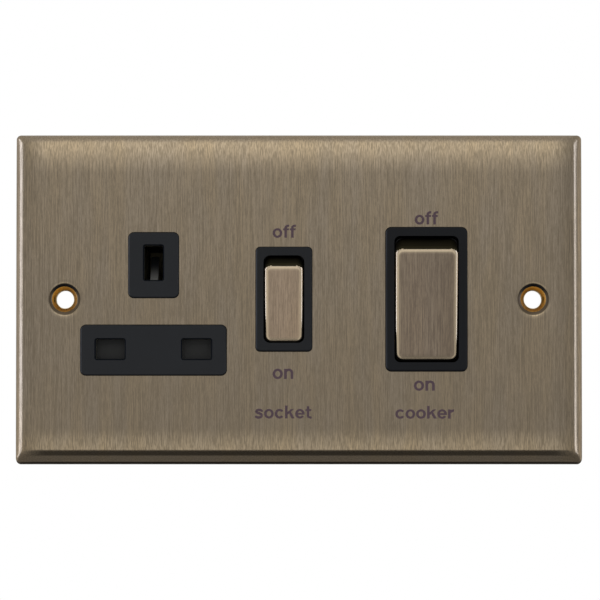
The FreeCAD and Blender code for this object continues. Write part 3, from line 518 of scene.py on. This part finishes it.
def brushed_metal(name, warm, cool, dark, roughness, rim=None):
    """Antique brass with vertical brushing, in three tones that the strokes mix.

    A rim is a distance to the piece's outline and the light colour of its edge, rubbed wear and a painted
    highlight."""
    material, net, shader, place = new_material(name, 1.0)
    brushed = use_group(net, "brushing", Vector=place, Strokes_per_mm_deep=0.1 if rim else 5.0)
    tone = net.mix(net.mapped(brushed.outputs["Broad"], 0.35, 0.65), rgb(*warm), rgb(*cool))
    streak = net.mapped(brushed.outputs["Fine"], 0.37, 0.63)
    tone = net.mix(streak, tone, rgb(*dark))
    if rim:
        distance, light = rim_distance(net, place, *rim[0]), rim[1]
        # The rim is painted light: rubbed wear and a painted highlight
        for share, full, none in RIM_STEPS:
            tone = net.mix(net.mapped(distance, full, none, share, 0.0), tone, rgb(*light))
    net.link(tone, shader.inputs["Base Color"])
    net.link(net.mapped(brushed.outputs["Fine"], 0.3, 0.7, roughness - 0.03, roughness + 0.05),
             shader.inputs["Roughness"])
    bump(net, shader, brushed.outputs["Height"], 0.0011)
    return material


def moulded_material(name, colour, roughness, grain_depth, grain=4.0, specular=0.5, other=None):
    """Moulded plastic with a fine grain and a faint unevenness of tone.

    Another tone has its axis, the places in millimetres between which it comes and goes, and its colour."""
    material, net, shader, place = new_material(name, 0.0, specular)
    grained = use_group(net, "grain", Vector=place, Grain_per_mm=grain)
    light = tuple(channel * 1.25 for channel in colour)
    dark = tuple(channel * 0.8 for channel in colour)
    tone = net.mix(grained.outputs["Tone"], rgb(*dark), rgb(*light))
    if other:
        axis, comes, goes, other_colour = other
        split = net.node("ShaderNodeSeparateXYZ")
        net.link(place, split.inputs[0])
        share = net.mapped(split.outputs[axis], comes[0] * MM, comes[1] * MM)
        if goes:
            gone = net.mapped(split.outputs[axis], goes[0] * MM, goes[1] * MM, 1.0, 0.0)
            share = net.math("MULTIPLY", share, gone)
        tone = net.mix(share, tone, rgb(*other_colour))
    net.link(tone, shader.inputs["Base Color"])
    net.link(net.mapped(grained.outputs["Tone"], 0.2, 0.8, roughness - 0.04, roughness + 0.05),
             shader.inputs["Roughness"])
    bump(net, shader, grained.outputs["Height"], grain_depth)
    return material


def bare_metal_material(name, colour, roughness, shade_above=None):
    """Rolled or turned metal with small marks and a slightly uneven tarnish.

    Shade above is where a painted shadow starts and is full, in millimetres up, and its colour."""
    material, net, shader, place = new_material(name, 1.0)
    grained = use_group(net, "grain", Vector=place, Grain_per_mm=2.0)
    dull = tuple(channel * 0.78 for channel in colour)
    tone = net.mix(grained.outputs["Tone"], rgb(*colour), rgb(*dull))
    if shade_above:
        split = net.node("ShaderNodeSeparateXYZ")
        net.link(place, split.inputs[0])
        tone = net.mix(net.mapped(split.outputs[2], shade_above[0] * MM, shade_above[1] * MM), tone, rgb(*shade_above[2]))
    net.link(tone, shader.inputs["Base Color"])
    net.link(net.mapped(grained.outputs["Tone"], 0.2, 0.8, roughness - 0.05, roughness + 0.1),
             shader.inputs["Roughness"])
    bump(net, shader, grained.outputs["Height"], 0.01)
    return material


def ink_material():
    """Printed ink, a little uneven."""
    material, net, shader, place = new_material("lettering_ink", 0.0, 0.3)
    uneven = net.noise(place, 1500.0, 3.0, 0.6)
    light = tuple(channel * 1.25 for channel in INK)
    net.link(net.mix(uneven, rgb(*INK), rgb(*light)), shader.inputs["Base Color"])
    net.link(net.mapped(uneven, 0.2, 0.8, 0.45, 0.6), shader.inputs["Roughness"])
    return material


# Materials by the record's slots, then those of single nodes: the insert's slot walls are painted paler just
# behind its face as painted light, the contacts are painted dark as shade, and the shutter's ramp is paler in the
# earth slot
SLOT_MATERIALS = {
    "antique_plate": brushed_metal(
        "antique_plate", (0.505, 0.402, 0.28), (0.487, 0.402, 0.305), (0.305, 0.248, 0.18), 0.2
    ),
    "black_moulding": moulded_material("black_moulding", (0.0045, 0.006, 0.0095), 0.36, 0.006, 4.0, 0.26),
    "rocker_metal": brushed_metal(
        "rocker_metal", (0.50, 0.39, 0.285), (0.48, 0.39, 0.295), (0.34, 0.265, 0.2), 0.22
    ),
    "base_moulding": moulded_material("base_moulding", (0.02, 0.02, 0.021), 0.55, 0.02, 2.5),
    "contact_brass": bare_metal_material("contact_brass", (0.75, 0.52, 0.21), 0.3),
    "plated_steel": bare_metal_material("plated_steel", (0.62, 0.61, 0.58), 0.28),
    "white_moulding": moulded_material("white_moulding", (0.62, 0.6, 0.54), 0.4, 0.006),
}
OWN_MATERIALS = {
    "socket_insert": moulded_material(
        "insert_moulding", (0.0072, 0.0096, 0.015), 0.36, 0.006, 4.0, 0.42,
        # Painted light: the slot walls paler just behind the face, fading deeper in
        (1, (FACE_Y + 0.2, FACE_Y + 1.2), (FACE_Y + 3.5, FACE_Y + 5.0), (0.14, 0.135, 0.095))
    ),
    "socket_switch_frame": moulded_material("small_frame", (0.0062, 0.0083, 0.013), 0.36, 0.006, 4.0, 0.36),
    "shutter": moulded_material(
        "shutter_moulding", (0.029, 0.032, 0.037), 0.5, 0.004, 4.0, 0.5,
        (2, (2.5, 3.5), (4.6, 9.5), (0.36, 0.36, 0.36))
    ),
    # The contacts are painted dull and dark as shade inside their slots
    "earth_contact": bare_metal_material("shade_dulled_contact", (0.28, 0.25, 0.17), 0.6),
}
OWN_MATERIALS["live_contact"] = OWN_MATERIALS["neutral_contact"] = OWN_MATERIALS["earth_contact"]
RAW_BRASS = bare_metal_material("raw_brass", (0.95, 0.66, 0.25), 0.3)
# The hole lip's inner slope, painted dark as shade and darker above as painted shadow
SHADED_LIP = bare_metal_material("shaded_lip", (0.16, 0.125, 0.09), 0.3, (0.5, 3.0, (0.035, 0.032, 0.033)))
# A rocker's upper end wall, painted dark as shade
SHADED_END_WALL = bare_metal_material("shaded_end_wall", (0.034, 0.03, 0.016), 0.45)
# The light colour of a rocker's rim, rubbed wear and a painted highlight, and the three tones of the small and
# large rockers' faces, the large one's darker as painted shade
RIM_WEAR_AND_HIGHLIGHT = (0.95, 0.79, 0.59)
FACE_TONES = (
    ((0.455, 0.348, 0.262), (0.437, 0.343, 0.272), (0.322, 0.248, 0.192)),
    # The large rocker's tones are darker as painted shade
    ((0.305, 0.243, 0.19), (0.296, 0.243, 0.199), (0.214, 0.17, 0.139)),
)


def rocker_materials(skin, tones):
    """A rocker skin's brushed face, lighter at the rim as rubbed wear and a painted highlight, its end wall
    painted dark as shade, and its raw inside.
    """
    node, _, x, pivot, size, _, radii = skin
    face = brushed_metal(node + "_face", *tones, 0.22, ((x, pivot, size, radii[0]), RIM_WEAR_AND_HIGHLIGHT))
    return face, SHADED_END_WALL, RAW_BRASS


def dress_nodes():
    """Gives every carried-over node its material."""
    for part in frame["record"]["subparts"]:
        node = frame["nodes"][part["node"]]
        material = OWN_MATERIALS.get(part["node"]) or SLOT_MATERIALS[part["material_slot"]]
        node.data.materials.clear()
        node.data.materials.append(material)


# Letter shapes, where a small letter is 100 high. A bar is left, right, low and high; a bow is
# the middle, the outer and inner radii across and up, and where it starts and ends in degrees.
BOW_STEPS = 20
LETTER_GAP = 9
LETTERS = {
    "o": (111, [], [(55, 50, 55, 52, 26, 29, 0, 360)], []),
    "c": (105, [], [(55, 50, 55, 52, 26, 29, 37, 323)], []),
    "e": (109, [(23, 108, 40, 59)], [(54, 50, 54, 52, 25, 30, 0, 327)], []),
    "n": (103, [(3, 32, 0, 100), (73, 102, 0, 64)], [(54, 62, 48, 40, 19, 16, 0, 165)], []),
    "r": (67, [(3, 32, 0, 100)], [(65, 57, 61, 44, 32, 15, 85, 165)], []),
    "f": (67, [(14, 43, 0, 108), (0, 65, 79, 100), (59, 69, 116, 140)], [(59, 106, 45, 34, 16, 10, 90, 180)], []),
    "t": (67, [(14, 43, 26, 131), (0, 65, 79, 100), (58, 69, -2, 20)], [(59, 28, 45, 30, 16, 8, 180, 270)], []),
    "k": (109, [(3, 32, 0, 138)], [], [
        ((29, 34), (29, 67), (70, 100), (105, 100)), ((46, 61), (65, 80), (112, 0), (77, 0)),
    ]),
    "s": (98, [], [], []),
}
# The middle line of the letter s, and its half width
S_LINE = (
    (84, 72), (82, 79), (74, 86), (62, 90), (48, 91), (34, 89), (23, 83), (19, 75), (22, 66), (33, 60),
    (48, 56), (64, 51), (76, 44), (80, 34), (78, 22), (68, 14), (54, 10), (40, 9), (26, 12), (16, 19), (13, 28),
)
S_HALF = 13.5


def letter_strips(letter):
    """The pieces of a letter, each as two rows of points along its edges."""
    _, bars, bows, wedges = LETTERS[letter]
    strips = [([(left, low), (left, high)], [(right, low), (right, high)]) for left, right, low, high in bars]
    for x, y, outer_x, outer_y, inner_x, inner_y, start, end in bows:
        turns = [math.radians(start + (end - start) * step / BOW_STEPS) for step in range(BOW_STEPS + 1)]
        outer = [(x + outer_x * math.cos(a), y + outer_y * math.sin(a)) for a in turns]
        inner = [(x + inner_x * math.cos(a), y + inner_y * math.sin(a)) for a in turns]
        strips.append((outer, inner))
    for first, second, third, fourth in wedges:
        strips.append(([first, second], [fourth, third]))
    if letter == "s":
        line = [Vector(point) for point in S_LINE]
        pairs = zip(line[:1] + line[:-1], line[1:] + line[-1:])
        along = [(after - before).normalized() for before, after in pairs]
        aside = [Vector((-way.y, way.x)) * S_HALF for way in along]
        left = [tuple(point + off) for point, off in zip(line, aside)]
        right = [tuple(point - off) for point, off in zip(line, aside)]
        strips.append((left, right))
    return strips


def add_word(name, text, left, right, low, high, material):
    """A printed word in bold plain letters, between two corners in millimetres."""
    strips, start = [], 0
    for letter in text:
        for rows in letter_strips(letter):
            strips.append([[(x + start, y) for x, y in row] for row in rows])
        start += LETTERS[letter][0] + LETTER_GAP
    xs = [x for rows in strips for row in rows for x, _ in row]
    ys = [y for rows in strips for row in rows for _, y in row]
    scale_x = (right - left) / (max(xs) - min(xs))
    scale_z = (high - low) / (max(ys) - min(ys))
    shell = Shell()
    for number, rows in enumerate(strips):
        lift = PRINT_LIFT + PRINT_THICKNESS + number * PRINT_STEP
        closed = math.dist(rows[0][0], rows[0][-1]) < 0.01
        loops = []
        for row in rows:
            places = [
                (left + (x - min(xs)) * scale_x, FACE_Y - lift, low + (y - min(ys)) * scale_z)
                for x, y in row
            ]
            line = list(shell.loop(places[:-1] if closed else places))
            loops.append(line + line[:1] if closed else line)
        first, second = loops
        for i in range(len(first) - 1):
            shell.mesh.faces.new((first[i], first[i + 1], second[i + 1], second[i]))
    raised = bmesh.ops.extrude_face_region(shell.mesh, geom=shell.mesh.faces[:])
    behind = [item for item in raised["geom"] if isinstance(item, bmesh.types.BMVert)]
    bmesh.ops.translate(shell.mesh, verts=behind, vec=(0.0, PRINT_THICKNESS * MM, 0.0))
    word = shell.finish(name, 30, (material,))
    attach(word, "housing")


def at_face(px, py):
    """The place on the plate's face, in millimetres, of a point of the photograph."""
    nearer = 1 + FACE_Y * MM / CAMERA_DISTANCE
    scale = MM_PER_PX * nearer
    return (px - PLATE_CENTRE_PX[0]) * scale, (PLATE_CENTRE_PX[1] - py) * scale


def add_lettering():
    """The switches' words, at their places in the photograph."""
    ink = ink_material()
    words = (
        ("print_socket_off", "off", 272.6, 295.9, 225.2, 238.5),
        ("print_socket_on", "on", 272.6, 293.3, 369.3, 379.8),
        ("print_socket", "socket", 254.7, 311.6, 406.2, 419.4),
        ("print_cooker_off", "off", 414.8, 438.2, 211.7, 225.2),
        ("print_cooker_on", "on", 413.7, 434.6, 381.2, 391.5),
        ("print_cooker", "cooker", 395.2, 453.9, 406.6, 419.4),
    )
    for name, text, x0, x1, top, bottom in words:
        left, low = at_face(x0, bottom)
        right, high = at_face(x1, top)
        add_word(name, text, left, right, low, high, ink)


def add_camera():
    """The photograph's view: square on, from a little below the middle, with a long lens."""
    data = bpy.data.cameras.new("camera")
    data.sensor_width = SENSOR_MM
    data.sensor_fit = "HORIZONTAL"
    view_width = PHOTO_SIZE * MM_PER_PX * MM
    data.lens = SENSOR_MM * CAMERA_DISTANCE / view_width
    middle = PHOTO_SIZE / 2
    target = Vector((
        (middle - PLATE_CENTRE_PX[0]) * MM_PER_PX * MM, 0.0, (PLATE_CENTRE_PX[1] - middle) * MM_PER_PX * MM
    ))
    angle = math.radians(CAMERA_ELEVATION)
    away = Vector((0.0, -math.cos(angle), math.sin(angle)))
    camera = bpy.data.objects.new("camera", data)
    camera.location = target + away * CAMERA_DISTANCE
    camera.rotation_euler = (-away).to_track_quat("-Z", "Y").to_euler()
    bpy.context.scene.collection.objects.link(camera)
    bpy.context.scene.camera = camera


def add_lamp(name, place, size, power):
    """A soft, slightly cool rectangular lamp that faces the plate's middle."""
    data = bpy.data.lights.new(name, "AREA")
    data.shape = "RECTANGLE"
    data.color = (0.86, 0.95, 1.2)
    data.size, data.size_y = size
    data.energy = power
    lamp = bpy.data.objects.new(name, data)
    lamp.location = place
    lamp.rotation_euler = (-Vector(place)).to_track_quat("-Z", "Y").to_euler()
    bpy.context.scene.collection.objects.link(lamp)


def add_lamps():
    add_lamp("left_soft_lamp", (-0.8, -0.16, 0.0), (0.3, 0.8), 1.16)
    add_lamp("right_soft_lamp", (0.73, -0.36, 0.0), (0.24, 0.8), 0.84)


# Brightness of the studio by height, from straight down (0) to straight up (1), first in front
# of the plate and then to its sides, and how warm it is there
STUDIO_TONES = (
    (0.0, 0.2, 0.2, 0.3), (0.025, 0.19, 0.2, 0.3), (0.07, 0.045, 0.2, 0.3), (0.2, 0.025, 0.24, 0.3),
    (0.27, 0.045, 0.28, 0.3), (0.305, 0.66, 0.45, 0.8), (0.33, 0.78, 0.48, 1.0), (0.36, 0.8, 0.48, 1.0),
    (0.40, 0.77, 0.46, 1.0), (0.418, 0.71, 0.44, 0.9), (0.448, 0.58, 0.42, 0.6), (0.477, 0.36, 0.41, 0.3),
    (0.495, 0.265, 0.4, 0.1), (0.505, 0.32, 0.4, 0.0), (0.53, 0.475, 0.41, 0.0), (0.54, 0.55, 0.42, 0.1),
    (0.555, 0.64, 0.43, 0.2), (0.594, 0.76, 0.44, 0.4), (0.624, 0.93, 0.46, 0.6), (0.64, 1.1, 0.48, 0.8),
    (0.66, 1.3, 0.5, 1.0), (0.69, 1.2, 0.52, 1.0), (0.75, 1.0, 0.52, 0.6), (1.0, 0.55, 0.5, 0.3),
)
# Where the studio changes with a direction's x, y or z: from, to, and the values there if not 0 and 1
SIDE_TONES = (0.03, 0.3)
RIGHT_DARKER = (0.04, 0.3, 1.0, 0.86)
GLOW_BESIDE = (0.62, 0.62 * 0.97, 0.62 * 0.93)
GLOW_ASIDE = (0.6, 0.85)
GLOW_COMES = (-0.25, 0.1)
GLOW_FADES = (0.35, 0.8, 1.0, 0.3)
DARK_BEHIND = (0.4, 0.8, 1.0, 0.35)
WHITE_IN_SIDES = (0.6, 0.95, 0.0, 0.75)
NO_WHITE_BELOW = (-0.3, -0.1)


def tone_ramp(net, height, column):
    """One column of the studio's tones over height."""
    ramp = net.node("ShaderNodeValToRGB")
    stops = ramp.color_ramp.elements
    for _ in range(len(STUDIO_TONES) - len(stops)):
        stops.new(0.5)
    for stop, row in zip(stops, STUDIO_TONES):
        stop.position = row[0]
        warm = row[3]
        stop.color = rgb(row[column] * (1 + 0.03 * warm), row[column], row[column] * (1 - 0.1 * warm))
    net.link(height, ramp.inputs[0])
    return ramp.outputs[0]


def add_world():
    """White behind the plate for the camera, and a soft studio with a dark ground for its light."""
    world = bpy.data.worlds.new("studio")
    world.use_nodes = True
    bpy.context.scene.world = world
    net = Net(world.node_tree)
    background = world.node_tree.nodes["Background"]
    split = net.node("ShaderNodeSeparateXYZ")
    net.link(net.node("ShaderNodeTexCoord").outputs["Generated"], split.inputs[0])
    height = net.math("MULTIPLY", net.math("ADD", split.outputs[2], 1.0), 0.5)
    aside = net.mapped(net.math("ABSOLUTE", split.outputs[0]), *SIDE_TONES)
    room = net.mix(aside, tone_ramp(net, height, 1), tone_ramp(net, height, 2))
    right = net.mapped(split.outputs[0], *RIGHT_DARKER)
    room = net.mix(1.0, room, right, "MULTIPLY")
    beside = net.math("MULTIPLY", net.mapped(net.math("ABSOLUTE", split.outputs[0]), *GLOW_ASIDE),
                      net.mapped(split.outputs[1], *GLOW_COMES))
    beside = net.math("MULTIPLY", beside, net.mapped(split.outputs[1], *GLOW_FADES))
    room = net.mix(1.0, room, net.mapped(split.outputs[1], *DARK_BEHIND), "MULTIPLY")
    room = net.mix(beside, room, rgb(*GLOW_BESIDE))
    behind = net.mapped(split.outputs[1], *WHITE_IN_SIDES)
    behind = net.math("MULTIPLY", behind, net.mapped(split.outputs[2], *NO_WHITE_BELOW))
    rays = net.node("ShaderNodeLightPath")
    shown = net.math("MAXIMUM", rays.outputs["Is Glossy Ray"], rays.outputs["Is Transmission Ray"])
    shown = net.math("MULTIPLY", shown, behind)
    shown = net.math("MAXIMUM", shown, rays.outputs["Is Camera Ray"])
    net.link(net.mix(shown, room, rgb(1.0, 1.0, 1.0)), background.inputs["Color"])
    background.inputs["Strength"].default_value = 1.0


FLOOR_Z = -0.9
FLOOR_HALF = 8.0


def add_floor():
    """A plain pale floor well below the wall plate, left out of the metal's reflections."""
    mesh = bpy.data.meshes.new("floor")
    corners = [(x * FLOOR_HALF, y * FLOOR_HALF, FLOOR_Z) for x, y in ((-1, -1), (1, -1), (1, 1), (-1, 1))]
    mesh.from_pydata(corners, [], [(0, 1, 2, 3)])
    floor = bpy.data.objects.new("floor", mesh)
    bpy.context.scene.collection.objects.link(floor)
    material, net, shader, place = new_material("floor_paint", 0.0, 0.2)
    net.link(net.mix(net.noise(place, 6.0), rgb(0.72, 0.72, 0.71), rgb(0.76, 0.76, 0.75)),
             shader.inputs["Base Color"])
    shader.inputs["Roughness"].default_value = 0.9
    mesh.materials.append(material)
    floor.visible_glossy = False


dress_nodes()
add_plate(SLOT_MATERIALS["antique_plate"], RAW_BRASS, SHADED_LIP)
for skin, tones in zip(ROCKER_SKINS, FACE_TONES):
    add_rocker_skin(*skin, rocker_materials(skin, tones))
add_lettering()
add_world()
add_lamps()
add_floor()
add_camera()
bpy.context.scene.view_settings.view_transform = "Standard"
